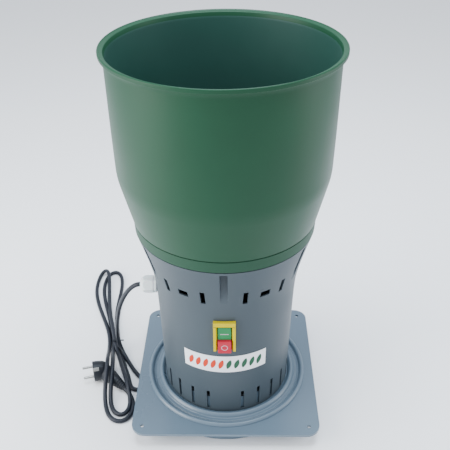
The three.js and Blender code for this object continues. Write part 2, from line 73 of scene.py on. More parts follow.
# %% Camera
CAMERA_AT = Vector((0.0194, -0.9288, 0.9644))
CAMERA_TURN = math.radians(1.19)
CAMERA_DOWN = math.radians(33.09)
CAMERA_ROLL = math.radians(-0.62)
CAMERA_LENS = 53.13

bpy.ops.object.camera_add(location=CAMERA_AT)
camera = bpy.context.object
camera.name = "portrait_camera"
turn = Matrix.Rotation(CAMERA_TURN, 4, "Z")
tilt = Matrix.Rotation(math.pi / 2 - CAMERA_DOWN, 4, "X")
roll = Matrix.Rotation(CAMERA_ROLL, 4, "Z")
camera.matrix_world = Matrix.Translation(CAMERA_AT) @ turn @ tilt @ roll
camera.data.lens = CAMERA_LENS
bpy.context.scene.camera = camera
print("camera distance to the mill's axis:", round(CAMERA_AT.xy.length, 3))

# %% [markdown]
# ## Floor and light
# A studio packshot stands on white paper under large soft boxes. One wide plane is the paper,
# the world gives the light that bounces about a white room, and three area lamps shape the
# object: a broad one on the left for the long highlight down the shells, a weaker one on the
# right to lift the far edge, and one overhead that looks into the hopper.

# %% Floor and light
def linear(code):
    """An sRGB hex colour as the linear RGBA that a shader takes."""
    channels = [int(code[i : i + 2], 16) / 255 for i in (1, 3, 5)]
    flat = [c / 12.92 if c <= 0.04045 else ((c + 0.055) / 1.055) ** 2.4 for c in channels]
    return (*flat, 1.0)


def add_node(tree, kind, inputs=None, **settings):
    """Adds one node with its settings, and its inputs as values or as links from sockets."""
    made = tree.nodes.new("ShaderNode" + kind)
    for key, value in settings.items():
        setattr(made, key, value)
    for key, value in (inputs or {}).items():
        if isinstance(value, bpy.types.NodeSocket):
            tree.links.new(value, made.inputs[key])
        else:
            made.inputs[key].default_value = value
    return made


def soft_box(name, at, towards, size, power):
    """A rectangular area lamp that faces a point."""
    bpy.ops.object.light_add(type="AREA", location=at)
    lamp = bpy.context.object
    lamp.name = name
    lamp.data.shape = "RECTANGLE"
    lamp.data.size, lamp.data.size_y = size
    lamp.data.energy = power
    aim = Vector(towards) - Vector(at)
    lamp.rotation_euler = aim.to_track_quat("-Z", "Y").to_euler()
    return lamp


middle = (cad_box[0] + cad_box[1]) / 2
soft_box("soft_box_left", (-1.5, -0.6, 0.8), middle, (1.2, 1.4), 42)
soft_box("soft_box_right", (1.7, -0.1, 0.7), middle, (0.8, 1.3), 12)
overhead = soft_box("soft_box_top", (0.05, 0.1, 2.0), middle, (1.3, 1.3), 62)
overhead.data.color = linear("#E4F1FF")[:3]  # a little cooler than the side boxes

world = bpy.data.worlds.new("white_room")
bpy.context.scene.world = world
world.use_nodes = True
world.node_tree.nodes["Background"].inputs["Color"].default_value = linear("#EEF5FF")
world.node_tree.nodes["Background"].inputs["Strength"].default_value = 1.2

bpy.ops.object.select_all(action="DESELECT")
bpy.ops.mesh.primitive_plane_add(size=14)
floor = bpy.context.object
floor.name = "paper_floor"

paper = bpy.data.materials.new("matt_white_paper")
paper.use_nodes = True
paper_shader = paper.node_tree.nodes["Principled BSDF"]
paper_shader.inputs["Base Color"].default_value = linear("#FBFBFB")
paper_shader.inputs["Roughness"].default_value = 0.9
floor.data.materials.append(paper)

# %% [markdown]
# ## Handles on the tools
# Everything below is modelled the way a hand would do it: add a primitive, shape it in edit
# mode, finish it with modifiers. These short helpers only save repeating the same clicks. Sizes
# go in as millimetres, because that is how a maker reads a drawing of the mill.

# %% Picking, copying and joining
def pick(piece):
    """Makes a piece the only selected one and the active one."""
    bpy.ops.object.select_all(action="DESELECT")
    piece.select_set(True)
    bpy.context.view_layer.objects.active = piece
    return piece


def copied(piece, name):
    """A copy of a piece with a mesh of its own."""
    other = piece.copy()
    other.data = piece.data.copy()
    other.name = name
    bpy.context.collection.objects.link(other)
    return other


def moved(piece, matrix):
    """Moves a piece and puts its place into its mesh."""
    piece.matrix_world = matrix
    pick(piece)
    bpy.ops.object.transform_apply(location=True, rotation=True, scale=True)
    return piece


def swung(piece, degrees):
    """Turns a piece about the mill's axis."""
    return moved(piece, Matrix.Rotation(math.radians(degrees), 4, "Z"))


def joined(pieces, name):
    """Several pieces as one."""
    pick(pieces[0])
    for piece in pieces:
        piece.select_set(True)
    if len(pieces) > 1:
        bpy.ops.object.join()
    pieces[0].name = name
    return pieces[0]


def around(piece, angles):
    """A piece repeated at each angle about the mill's axis, joined into one."""
    copies = [swung(copied(piece, piece.name), angle) for angle in angles]
    bpy.data.objects.remove(piece)
    return joined(copies, copies[0].name)


# %% [markdown]
# Nearly every shell of the mill is a body of revolution, so the most useful helper draws half a
# section and spins it. It could be a lathe of loops scaled by hand, but an outline with softened
# corners holds the real fillets. Boxes, rods and the boolean modifier make the rest.

# %% Drawing, turning and cutting
SHELL_STEPS = 224  # fine enough that the rim of the hopper shows no corners


def draw(name, points):
    """A line of edges: one vertex at the first point, extruded from place to place."""
    bpy.ops.object.select_all(action="DESELECT")
    bpy.ops.mesh.primitive_plane_add(size=MM, location=Vector(points[0]) * MM)
    piece = bpy.context.object
    piece.name = name
    bpy.ops.object.transform_apply(location=True)
    bpy.ops.object.mode_set(mode="EDIT")
    bpy.ops.mesh.select_mode(type="VERT")
    bpy.ops.mesh.select_all(action="SELECT")
    bpy.ops.mesh.merge(type="CENTER")
    for before, after in zip(points, points[1:]):
        step = (Vector(after) - Vector(before)) * MM
        bpy.ops.mesh.extrude_region_move(TRANSFORM_OT_translate={"value": step})
    return piece


def turned(name, line, steps=SHELL_STEPS):
    """Spins a closed outline of (radius, height) points about the mill's axis."""
    piece = draw(name, [(r, 0, z) for r, z in [*line, line[0]]])
    bpy.ops.mesh.select_all(action="SELECT")
    bpy.ops.mesh.spin(steps=steps, angle=math.tau, center=(0, 0, 0), axis=(0, 0, 1))
    bpy.ops.mesh.select_all(action="SELECT")
    bpy.ops.mesh.remove_doubles(threshold=0.002 * MM)
    bpy.ops.mesh.select_all(action="SELECT")
    bpy.ops.mesh.normals_make_consistent(inside=False)
    bpy.ops.object.mode_set(mode="OBJECT")
    return piece


def softened(corners, steps=4):
    """An outline through corners of (radius, height, softening), each one rounded off."""
    line = []
    for i, (r, z, soft) in enumerate(corners):
        corner = Vector((r, z))
        if not soft:
            line.append((r, z))
            continue
        before = Vector(corners[i - 1][:2]) - corner
        after = Vector(corners[(i + 1) % len(corners)][:2]) - corner
        start = corner + before.normalized() * min(soft, before.length / 2.1)
        end = corner + after.normalized() * min(soft, after.length / 2.1)
        for k in range(steps + 1):
            t = k / steps
            line.append(tuple(start.lerp(corner, t).lerp(corner.lerp(end, t), t)))
    return line


def flowing(points, per=8):
    """A smooth line through points, as a Catmull-Rom spline."""
    line = []
    ends = [Vector(p) for p in [points[0], *points, points[-1]]]
    for a, b, c, d in zip(ends, ends[1:], ends[2:], ends[3:]):
        for k in range(per):
            t = k / per
            bend = (2 * a - 5 * b + 4 * c - d) * t**2 + (3 * b - a - 3 * c + d) * t**3
            line.append(tuple((2 * b + (c - a) * t + bend) / 2))
    return [*line, tuple(points[-1])]


def block(name, low, high, soft=0.0, steps=3):
    """A box between two corners, its edges bevelled round."""
    low, high = Vector(low) * MM, Vector(high) * MM
    bpy.ops.object.select_all(action="DESELECT")
    bpy.ops.mesh.primitive_cube_add(size=1, location=(low + high) / 2)
    piece = bpy.context.object
    piece.name = name
    piece.scale = high - low
    bpy.ops.object.transform_apply(location=True, rotation=True, scale=True)
    if soft:
        bpy.ops.object.mode_set(mode="EDIT")
        bpy.ops.mesh.select_all(action="SELECT")
        bpy.ops.mesh.bevel(offset=soft * MM, segments=steps, affect="EDGES")
        bpy.ops.object.mode_set(mode="OBJECT")
    return piece


def rod(name, radius, low, high, sides=48):
    """A cylinder on the mill's axis, to be moved from there."""
    bpy.ops.object.select_all(action="DESELECT")
    bpy.ops.mesh.primitive_cylinder_add(
        vertices=sides,
        radius=radius * MM,
        depth=(high - low) * MM,
        location=(0, 0, (low + high) / 2 * MM),
    )
    piece = bpy.context.object
    piece.name = name
    bpy.ops.object.transform_apply(location=True)
    return piece


def combined(piece, tool, operation):
    """Cuts a piece with a tool, or joins or intersects them, and throws the tool away."""
    pick(piece)
    cut = piece.modifiers.new("cut", "BOOLEAN")
    cut.operation = operation
    cut.solver = "EXACT"
    cut.object = tool
    bpy.ops.object.modifier_apply(modifier=cut.name)
    bpy.data.objects.remove(tool)
    return piece


# %% [markdown]
# Two things make a hard shape look moulded: edges that catch a thin highlight, and flat faces
# that stay flat in the shading. A bevel limited by angle gives the first. Smoothing by angle
# would bend the light on a flat face beside a bevel, so the normals are then weighted by the
# size of the faces, which gives the second.

# %% Finishing
def eased(piece, width, steps=2, angle=38):
    """Rounds the sharp edges that are left, as a mould's edges are."""
    pick(piece)
    bevel = piece.modifiers.new("edges", "BEVEL")
    bevel.width = width * MM
    bevel.segments = steps
    bevel.limit_method = "ANGLE"
    bevel.angle_limit = math.radians(angle)
    bpy.ops.object.modifier_apply(modifier=bevel.name)
    return piece


def dress(piece, finish, body, nodes=(), angle=32):
    """Gives a piece its shading, finish and body, and hides the frame nodes it stands for."""
    pick(piece)
    bpy.ops.object.shade_smooth_by_angle(angle=math.radians(angle))
    weigh = piece.modifiers.new("weigh", "WEIGHTED_NORMAL")
    weigh.keep_sharp = True
    bpy.ops.object.modifier_apply(modifier=weigh.name)
    piece.data.materials.clear()
    piece.data.materials.append(finish)
    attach(piece, body)
    if nodes:
        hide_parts(*nodes)
    faces = sum(len(face.vertices) - 2 for face in piece.data.polygons)
    print(f"{piece.name}: {faces} triangles")
    return piece


# %% [markdown]
# ## The finishes
# Most of the mill is moulded plastic. A mould is spark-eroded to a fine grain, so the surface
# breaks up a reflection without looking rough, and the pigment and the cooling leave slow cloudy
# changes in tone. One function makes such a plastic from its own colours and grain, because the
# hopper, housing and base differ only in those. Metals and rubber get theirs further down.

# %% Moulded plastics
CLOUD_MM = 111  # slow changes of tone, where the melt flowed and cooled
SPECK_MM = 2.38  # specks of pigment, drawn larger than life so that they show


def blank_finish(name):
    """An empty finish: the material, its nodes, its shader and the object's coordinates."""
    finish = bpy.data.materials.new(name)
    finish.use_nodes = True
    tree = finish.node_tree
    place = add_node(tree, "TexCoord").outputs["Object"]
    return finish, tree, tree.nodes["Principled BSDF"], place


def moulded_plastic(name, light, dark, grain_mm, roughness, shine, relief=0.1):
    """A moulded plastic between two tones, with a fine grain of a real size in its surface."""
    finish, tree, shader, place = blank_finish(name)
    clouds = add_node(tree, "TexNoise", {"Vector": place, "Scale": 1 / (CLOUD_MM * MM),
                                         "Detail": 4.0})
    specks = add_node(tree, "TexNoise", {"Vector": place, "Scale": 1 / (SPECK_MM * MM),
                                         "Detail": 2.0})
    tone = add_node(tree, "Math", {0: clouds.outputs["Fac"], 1: 0.75}, operation="MULTIPLY")
    fleck = add_node(tree, "Math", {0: specks.outputs["Fac"], 1: 0.25, 2: tone.outputs[0]},
                     operation="MULTIPLY_ADD")
    colour = add_node(tree, "Mix", {0: fleck.outputs[0], 6: linear(dark), 7: linear(light)},
                      data_type="RGBA")
    tree.links.new(colour.outputs[2], shader.inputs["Base Color"])
    grain = add_node(tree, "TexNoise", {"Vector": place, "Scale": 1 / (grain_mm * MM),
                                        "Detail": 2.0})
    bump = add_node(tree, "Bump", {"Height": grain.outputs["Fac"], "Strength": relief,
                                   "Distance": 0.15 * MM})
    tree.links.new(bump.outputs["Normal"], shader.inputs["Normal"])
    gloss = add_node(tree, "MapRange", {"Value": clouds.outputs["Fac"], "From Min": 0.3,
                                        "From Max": 0.7, "To Min": roughness - 0.04,
                                        "To Max": roughness + 0.05})
    tree.links.new(gloss.outputs["Result"], shader.inputs["Roughness"])
    shader.inputs["IOR"].default_value = 1.5
    shader.inputs["Specular IOR Level"].default_value = shine
    return finish


# Polypropylene in a dark green: satin, with a waxy depth and a soft long highlight.
green_pp = moulded_plastic("satin_green_polypropylene", "#17452D", "#123924", 0.9, 0.4, 0.2)
# Inside the hopper the green is painted paler, cooler and less green: a painted reflection of the cool
# sky light that the inner wall catches.
sky_sheen_pp = moulded_plastic("polypropylene_with_painted_sky_sheen", "#284F45", "#21433B", 2.5, 0.5, 0.4)
# The seat ring is the same resin from a coarser mould, so it looks a little greyer.
ring_pp = moulded_plastic("grained_green_polypropylene", "#204733", "#193C29", 1.3, 0.5, 0.2)
# ABS in a blue grey, fine grained like an instrument housing.
grey_abs = moulded_plastic("blue_grey_abs", "#434D53", "#3B444A", 0.8, 0.42, 0.22)
# The base is the same family of grey, paler and a little glossier on its rolled beads.
base_abs = moulded_plastic("pale_grey_abs", "#5E707E", "#546674", 0.9, 0.3, 0.65)
# The guard, the buttons and the body of the switch are ABS too, each coloured right through.
yellow_abs = moulded_plastic("signal_yellow_abs", "#D0BA00", "#C0AA00", 0.6, 0.4, 0.08)
green_abs = moulded_plastic("start_green_abs", "#237F49", "#1D713F", 0.6, 0.4, 0.2)
red_abs = moulded_plastic("stop_red_abs", "#B92A3C", "#AA2435", 0.6, 0.4, 0.15)
black_abs = moulded_plastic("black_switch_abs", "#17191C", "#101214", 0.6, 0.45, 0.3)
# Polyamide without pigment is a milky white, because light travels a little way into it.
white_pa = moulded_plastic("natural_white_polyamide", "#EAF0EF", "#DBE3E2", 0.7, 0.34, 0.5)
milky_shader = white_pa.node_tree.nodes["Principled BSDF"]
milky_shader.inputs["Subsurface Weight"].default_value = 0.1
milky_shader.inputs["Subsurface Scale"].default_value = 3 * MM
print("finishes so far:", len(bpy.data.materials))

# %% [markdown]
# ## The power cord
# The lead is a round flexible cord in a black PVC sheath, about eight and a half millimetres
# thick and nearly two and a half metres long. It leaves the gland, falls beside the mill, and is folded
# into a tied hank: two long loops behind, two nested loops in front, and a short fold between.
# A rope simulation could drop it, but a hank is laid by hand, so its way is a list of points
# picked along it, and a smooth spline runs through them from the gland to the plug.

# %% Cord
CORD_DIAMETER = 8.4
CORD_ROUTE = [
    # out of the gland and down
    (-140, 0, 234), (-150, 0, 234), (-157, 0, 233.5), (-166, 2, 227), (-177, 8, 212.5),
    (-189, 18, 188), (-201, 32, 155), (-210, 47, 118), (-217, 62, 82), (-221, 72, 52),
    (-222, 77, 29), (-217, 70, 12.5), (-208, 56, 5.5),
    # down the right of the hank to the short fold
    (-196, 36, 4.2), (-183, 14, 4.2), (-169, -3, 4.2), (-160, -17, 4.2), (-161, -30, 4.2),
    (-172, -37, 4.2), (-183, -31, 4.2), (-188, -19, 4.2),
    # back again, and round the right back loop
    (-192, -4, 4.2), (-198, 12, 4.2), (-206, 32, 4.2), (-215, 56, 4.2), (-224, 80, 4.2),
    (-229, 106, 4.2), (-234, 132, 4.2), (-240, 158, 4.2), (-244, 185, 4.2), (-246, 222, 4.2),
    (-245, 261, 4.2), (-247, 295, 4.2), (-253, 324, 4.2), (-266, 339, 4.2), (-279, 334, 4.2),
    (-286, 315, 4.2), (-288, 290, 4.2), (-285, 262, 4.2), (-278, 234, 4.2), (-268, 203, 4.2),
    (-257, 171, 4.2), (-248, 138, 4.2), (-239, 112, 4.2), (-235, 90, 4.2),
    # down the left, over the plug, and round the inner front loop
    (-233, 68, 8), (-229, 46, 20), (-224, 22, 32), (-221, 2, 36), (-220, -16, 31),
    (-220, -38, 19), (-219, -60, 7), (-214, -78, 4.2), (-206, -91, 4.2), (-195, -98, 4.2),
    (-185, -93, 4.2), (-180, -80, 4.6), (-180, -66, 8), (-184, -50, 15), (-189, -34, 20.5),
    # up across the other strands, and round the left back loop
    (-196, -14, 21), (-204, 8, 17), (-213, 32, 13.5), (-222, 58, 13), (-231, 86, 13),
    (-238, 112, 13), (-245, 138, 13), (-253, 164, 12.6), (-262, 203, 8), (-270, 246, 4.6),
    (-276, 285, 6), (-280, 312, 12), (-286, 332, 12.5), (-296, 339, 8), (-303, 326, 4.2),
    (-305, 300, 4.2), (-304, 276, 4.2), (-300, 252, 4.2), (-291, 222, 4.2), (-278, 190, 4.2),
    (-264, 158, 4.2), (-253, 130, 4.2), (-246, 104, 4.2), (-243, 80, 5),
    # down the far left, over the plug's head, and round the outer front loop to the grip
    (-240, 58, 13), (-236, 36, 28), (-232, 12, 41.5), (-230, -8, 42), (-230, -26, 32),
    (-230, -46, 18), (-228, -66, 7), (-222, -88, 4.2), (-211, -106, 4.2), (-196, -114, 4.2),
    (-181, -108, 4.2), (-173, -92, 4.2), (-173, -72, 4.2), (-179, -55, 4.2), (-187, -43, 5.5),
    (-195, -36, 8),
]

cord_curve = bpy.data.curves.new("power_cord", "CURVE")
cord_curve.dimensions = "3D"
cord_curve.resolution_u = 5
cord_curve.bevel_depth = CORD_DIAMETER / 2 * MM
cord_curve.bevel_resolution = 4
cord_curve.use_fill_caps = True
spline = cord_curve.splines.new("NURBS")
spline.points.add(len(CORD_ROUTE) - 1)
for point, at in zip(spline.points, CORD_ROUTE):
    point.co = (*(Vector(at) * MM), 1)
spline.order_u = 4
spline.use_endpoint_u = True
cord = bpy.data.objects.new("power_cord", cord_curve)
bpy.context.collection.objects.link(cord)
print("cord length:", round(spline.calc_length(), 3), "m")

# %% [markdown]
# The sheath is extruded soft PVC. It is black to the eye but really a dark blue grey, with a dull
# sheen, and the twisted cores inside press faintly through it. A wave along the cord would need
# coordinates of its own, so the twist is left to a low, slow noise that never lines up.

# %% Cord finish
HANDLING_MM = 14.3  # the size of a finger's mark
TWIST_MM = 3.85  # the swell of a core under the sheath


def soft_pvc(name, light, dark, roughness, relief):
    """Soft PVC: two close dark tones, a dull sheen and a dusting of handling marks."""
    finish, tree, shader, place = blank_finish(name)
    marks = add_node(tree, "TexNoise", {"Vector": place, "Scale": 1 / (HANDLING_MM * MM),
                                        "Detail": 5.0})
    colour = add_node(tree, "Mix", {0: marks.outputs["Fac"], 6: linear(dark), 7: linear(light)},
                      data_type="RGBA")
    tree.links.new(colour.outputs[2], shader.inputs["Base Color"])
    swell = add_node(tree, "TexNoise", {"Vector": place, "Scale": 1 / (TWIST_MM * MM),
                                        "Detail": 2.0})
    bump = add_node(tree, "Bump", {"Height": swell.outputs["Fac"], "Strength": relief,
                                   "Distance": 0.2 * MM})
    tree.links.new(bump.outputs["Normal"], shader.inputs["Normal"])
    gloss = add_node(tree, "MapRange", {"Value": marks.outputs["Fac"],
                                        "To Min": roughness - 0.06,
                                        "To Max": roughness + 0.06})
    tree.links.new(gloss.outputs["Result"], shader.inputs["Roughness"])
    shader.inputs["IOR"].default_value = 1.52
    shader.inputs["Specular IOR Level"].default_value = 0.3
    return finish


# The sheath is drawn smooth through a die, and the plug's mould leaves it a little duller.
cord_pvc = soft_pvc("black_pvc_sheath", "#20242D", "#14171E", 0.42, 0.2)
plug_pvc = soft_pvc("black_moulded_pvc", "#1B1F27", "#12151B", 0.46, 0.3)
cord_curve.materials.append(cord_pvc)
print("cord finishes:", cord_pvc.name, plug_pvc.name)

# %% [markdown]
# ## The plug on the cord
# An earthed mains plug is one lump of moulded PVC: a round head with a flat face, and a grip
# that leans to the side and narrows to the cord with a few flexing grooves. Head and grip are
# turned separately and joined, and a remesh melts them into one moulding, which is what the real
# mould does. The pins and the two earth strips are separate metal, so they stay sharp.

# %% Plug body
PLUG_HEADING = 16  # degrees that the pins point from -X towards -Y
PLUG_AT = Vector((-246, 1, 19.7))
PLUG_ROLL = -38  # how far the plug has rolled about its pins where it lies
GRIP_HEADING = -38  # degrees that the grip leans from +X towards -Y
GRIP_DROP = 10  # degrees that the grip points down to the floor
GRIP_LONG = 61
GROOVES = 4
GROOVES_FROM = 42
GROOVE_STEP = 4.4

lay_down = Matrix.Rotation(math.radians(-90), 4, "Y")
plug_place = (
    Matrix.Translation(PLUG_AT * MM)
    @ Matrix.Rotation(math.radians(PLUG_HEADING), 4, "Z")
    @ lay_down
    @ Matrix.Rotation(math.radians(PLUG_ROLL), 4, "Z")
)
grip_place = (
    Matrix.Translation((PLUG_AT + Vector((4, 1, -1))) * MM)
    @ Matrix.Rotation(math.radians(GRIP_HEADING), 4, "Z")
    @ Matrix.Rotation(math.radians(90 + GRIP_DROP), 4, "Y")
)

plug = turned("plug_moulding", softened([
    (0, -15, 0), (12, -14, 5), (17, -7, 5), (18.6, 2, 4), (19.4, 8, 1), (19.4, 14.6, 1), (0, 14.6, 0),
]), 64)
moved(plug, plug_place)
grip_line = [(0, 0), (15, 0), (14.6, 12), (13, 26), (10.8, 39)]
for i in range(GROOVES):
    low = GROOVES_FROM + GROOVE_STEP * i
    across = 10 - 0.9 * i
    grip_line += [(across, low), (across - 0.2, low + 2.2), (across - 1.5, low + 2.8),
                  (across - 1.6, low + 3.4)]
grip = turned("grip", [*grip_line, (5.8, GRIP_LONG), (0, GRIP_LONG)], 48)
moved(grip, grip_place)
combined(plug, grip, "UNION")
melt = plug.modifiers.new("melt", "REMESH")
melt.mode = "VOXEL"
melt.voxel_size = 0.55 * MM
pick(plug)
bpy.ops.object.modifier_apply(modifier=melt.name)
soften = plug.modifiers.new("soften", "SMOOTH")
soften.iterations = 3
bpy.ops.object.modifier_apply(modifier=soften.name)
dress(plug, plug_pvc, "mill", ["plug_body"], angle=60)

# %% [markdown]
# The pins of the plug are the first bare metal. Every bare metal of the mill comes from one
# function, because they differ only in tone, gloss and tool marks: two near tones for stains,
# and a fine noise that breaks the gloss and can be drawn out along an axis.

# %% Bare metals
STAIN_MM = 28.6  # patches where a film of oil or meal dulls the metal


def metal(name, light, dark, roughness, grain_mm=0.6, stretch=(1, 1, 1)):
    """A bare metal with fine tool marks, drawn out along one axis where it is brushed."""
    finish, tree, shader, place = blank_finish(name)
    along = add_node(tree, "Mapping", {"Vector": place, "Scale": stretch})
    marks = add_node(tree, "TexNoise", {"Vector": along.outputs[0], "Scale": 1 / (grain_mm * MM),
                                        "Detail": 3.0})
    stain = add_node(tree, "TexNoise", {"Vector": place, "Scale": 1 / (STAIN_MM * MM),
                                        "Detail": 4.0})
    colour = add_node(tree, "Mix", {0: stain.outputs["Fac"], 6: linear(dark), 7: linear(light)},
                      data_type="RGBA")
    tree.links.new(colour.outputs[2], shader.inputs["Base Color"])
    gloss = add_node(tree, "MapRange", {"Value": marks.outputs["Fac"],
                                        "To Min": max(0.05, roughness - 0.1),
                                        "To Max": roughness + 0.12})
    tree.links.new(gloss.outputs["Result"], shader.inputs["Roughness"])
    bump = add_node(tree, "Bump", {"Height": marks.outputs["Fac"], "Strength": 0.12,
                                   "Distance": 0.05 * MM})
    tree.links.new(bump.outputs["Normal"], shader.inputs["Normal"])
    shader.inputs["Metallic"].default_value = 1.0
    return finish


# Nickel over brass keeps a faint warmth, and the sockets it goes into scratch it dull.
nickel = metal("nickelled_brass", "#A9A9A6", "#85837C", 0.28)

# %% [markdown]
# The pins are round rods with rounded tips, each spun from its outline. The two earth strips are
# folded from spring sheet along the edges of the head. A strip could be bent from one sheet, but
# it is seen from so near its own thickness that two bevelled blocks meeting at the fold do.

# %% Pins and earth strips
PIN_AT = 9.5  # half the distance between the two pins
PIN_R = 2.4
STRIP_HALF = 3.4

for i, side in enumerate((1, -1)):
    pin = turned(f"pin_{i + 1}", softened([
        (0, 6.3, 0), (PIN_R, 6.3, 0), (PIN_R, 34.2, 1.6), (0, 34.2, 0),
    ]), 32)
    moved(pin, plug_place @ Matrix.Translation((0, PIN_AT * side * MM, 0)))
    dress(pin, nickel, "mill", [f"plug_pin_{i + 1}"])

strips = []
for side in (1, -1):
    rim_x, fold_x = side * 19.2, side * 16.6
    rim = block("earth_strip", (rim_x - 0.7, -STRIP_HALF, 3), (rim_x + 0.7, STRIP_HALF, 14.9), 0.3)
    fold = block("earth_fold", (fold_x - 3.2, -STRIP_HALF, 14.1), (fold_x + 3.2, STRIP_HALF, 15.1),
                 0.3)
    strips += [moved(rim, plug_place), moved(fold, plug_place)]
earth = dress(joined(strips, "earth_strips"), nickel, "mill")

# %% [markdown]
# A thin black tie holds the hank together where its strands lie closest. It is the hull of the
# strands that it goes round: a short rod for each strand, wrapped by the convex hull operator,
# opened at both ends and given the tie's own thickness.

# %% Cord tie
TIE_AT = 86  # how far back it lies
TIE_WIDTH = 3.6
TIE_THICK = 0.9
# where the strands run through it, across and up
TIE_STRANDS = [(-243.5, 4.8), (-235, 5.2), (-231, 13), (-225.5, 4.6)]

rods = []
for x, z in TIE_STRANDS:
    strand = rod("strand", CORD_DIAMETER / 2 + 0.3, -TIE_WIDTH / 2, TIE_WIDTH / 2, 24)
    lie = Matrix.Rotation(math.radians(90), 4, "X")
    rods.append(moved(strand, Matrix.Translation(Vector((x, TIE_AT, z)) * MM) @ lie))
tie = joined(rods, "cord_tie")
pick(tie)
bpy.ops.object.mode_set(mode="EDIT")
bpy.ops.mesh.select_all(action="SELECT")
bpy.ops.mesh.convex_hull()
bpy.ops.mesh.select_all(action="DESELECT")
bpy.ops.object.mode_set(mode="OBJECT")
for face in tie.data.polygons:
    face.select = abs(face.normal.y) > 0.9
bpy.ops.object.mode_set(mode="EDIT")
bpy.ops.mesh.select_mode(type="FACE")
bpy.ops.mesh.delete(type="FACE")
bpy.ops.object.mode_set(mode="OBJECT")
wrap = tie.modifiers.new("wrap", "SOLIDIFY")
wrap.thickness = TIE_THICK * MM
wrap.offset = 1
bpy.ops.object.modifier_apply(modifier=wrap.name)
head = block("tie_head", (-235, TIE_AT - 3.2, 17.4), (-228, TIE_AT + 3.2, 21.4), 0.7)
tail = block("tie_tail", (-228.4, TIE_AT - 1.6, 18.8), (-213, TIE_AT + 1.6, 19.9), 0.4)
tie = dress(joined([tie, head, tail], "cord_tie"), plug_pvc, "mill")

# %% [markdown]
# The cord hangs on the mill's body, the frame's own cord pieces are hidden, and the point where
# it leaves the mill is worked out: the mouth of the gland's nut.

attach(cord, "mill")
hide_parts("power_lead", "cord_hank_front", "cord_hank_back")
gland_low, gland_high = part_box("gland_nut")
gland_mouth = (gland_low.x, 0, (gland_low.z + gland_high.z) / 2)
print("cord leaves at:", [round(c, 4) for c in gland_mouth])

# %% [markdown]
# ## Cable gland
# The gland is natural white polyamide: a body with a six-sided flange screwed into the housing,
# and a six-sided domed nut that squeezes a soft black seal round the cord. The nut is a turned
# dome and a hexagon cut down to what they share, which gives the curved edges that a real
# chamfered hexagon has.

# %% Gland
NUT_CORNERS = 32.4
FLANGE_CORNERS = 31
CLAMP_BORE = 5  # the radius of the way through the nut and the body


def six_sided(name, across_corners, low, high):
    """A six-sided rod on the mill's axis."""
    return rod(name, across_corners / 2, low, high, 6)


gland_lay = Matrix.Translation((0, 0, gland_mouth[2])) @ lay_down
nut_low, nut_high = -gland_high.x / MM, -gland_low.x / MM
nut = turned("gland_dome", softened([
    (CLAMP_BORE, nut_low, 0), (15.9, nut_low, 0.8), (15.9, nut_high - 9, 6),
    (13, nut_high - 3.4, 3), (9.8, nut_high, 1.6), (6, nut_high, 0.8),
    (CLAMP_BORE, nut_high - 2, 0.5),
], 6), 96)
combined(nut, six_sided("hexagon", NUT_CORNERS, nut_low - 1, nut_high + 1), "INTERSECT")
eased(nut, 0.5, 3, 25)
moved(nut, gland_lay)
dress(nut, white_pa, "mill", ["gland_nut"])

thread_low = -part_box("gland_body")[1].x / MM
flange = six_sided("gland_flange", FLANGE_CORNERS, 121.6, nut_low - 0.4)
collar = turned("gland_collar", softened([
    (CLAMP_BORE, thread_low, 0), (9.8, thread_low, 0.5), (9.8, nut_low + 6, 0.5),
    (CLAMP_BORE, nut_low + 6, 0),
]), 64)
eased(flange, 0.8, 3)
combined(flange, collar, "UNION")
moved(flange, gland_lay)
dress(flange, white_pa, "mill", ["gland_body"])

seal = turned("gland_seal", softened([
    (4.1, nut_high - 6, 0), (6.1, nut_high - 6, 0), (6.1, nut_high - 0.9, 0.6),
    (4.1, nut_high - 0.5, 0.4),
]), 48)
moved(seal, gland_lay)
dress(seal, plug_pvc, "mill")

# %% [markdown]
# ## Hopper
# The hopper is one blow-moulded or injected shell: a cone that opens to a soft knee, a nearly
# straight wall, and a rolled lip that stiffens the mouth. It could be a cylinder with loops
# scaled one by one, but a shell of revolution is quickest as an outline spun about its axis,
# and the outline keeps every fillet under control. The faces that look at the axis, below the
# lip, take a paler, cooler copy of the green: a painted reflection of the sky light inside.

# %% Hopper shell
hopper_low, hopper_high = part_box("hopper")
LIP_R = hopper_high.x / MM
FOOT_Z = hopper_low.z / MM
MOUTH_Z = hopper_high.z / MM
KNEE_Z = FOOT_Z + 86
HOPPER_FOOT_R = 149.6
WALL = 3
SEAM = 1.3  # the height of the shadow line between two shells
# how far up the inside the painted reflection reaches
SHEEN_TOP = MOUTH_Z - 9
knee_r = LIP_R - 9
mouth_r = LIP_R - 7

hopper = turned("hopper_shell", softened([
    (HOPPER_FOOT_R - WALL, FOOT_Z, 0.8),
    (HOPPER_FOOT_R - 1.4, FOOT_Z, 0.2),
    (HOPPER_FOOT_R - 1.4, FOOT_Z + SEAM, 0.2),
    (HOPPER_FOOT_R, FOOT_Z + SEAM, 0.4),
    (knee_r - 0.2, KNEE_Z - 2, 12),
    (knee_r + 1, KNEE_Z + 60, 20),
    (mouth_r, MOUTH_Z - 12, 4),
    (mouth_r + 2.4, MOUTH_Z - 5.6, 2),
    (LIP_R - 2.2, MOUTH_Z - 5.6, 0.8),
    (LIP_R - 2, MOUTH_Z - 6.8, 0.4),
    (LIP_R - 0.2, MOUTH_Z - 6.6, 0.8),
    (LIP_R, MOUTH_Z - 1.4, 0.9),
    (LIP_R - 1.8, MOUTH_Z, 0.8),
    (LIP_R - 3.6, MOUTH_Z - 1.6, 1),
    (mouth_r - 1.2, MOUTH_Z - 3.2, 1),
    (mouth_r - WALL, MOUTH_Z - 10, 3),
    (knee_r + 1 - WALL, KNEE_Z + 60, 20),
    (knee_r - 0.2 - WALL, KNEE_Z - 2, 12),
], 5))
dress(hopper, green_pp, "hopper", ["hopper"])
# The inner faces below that height take the paler copy of the green, a painted reflection of the sky
# light.
hopper.data.materials.append(sky_sheen_pp)
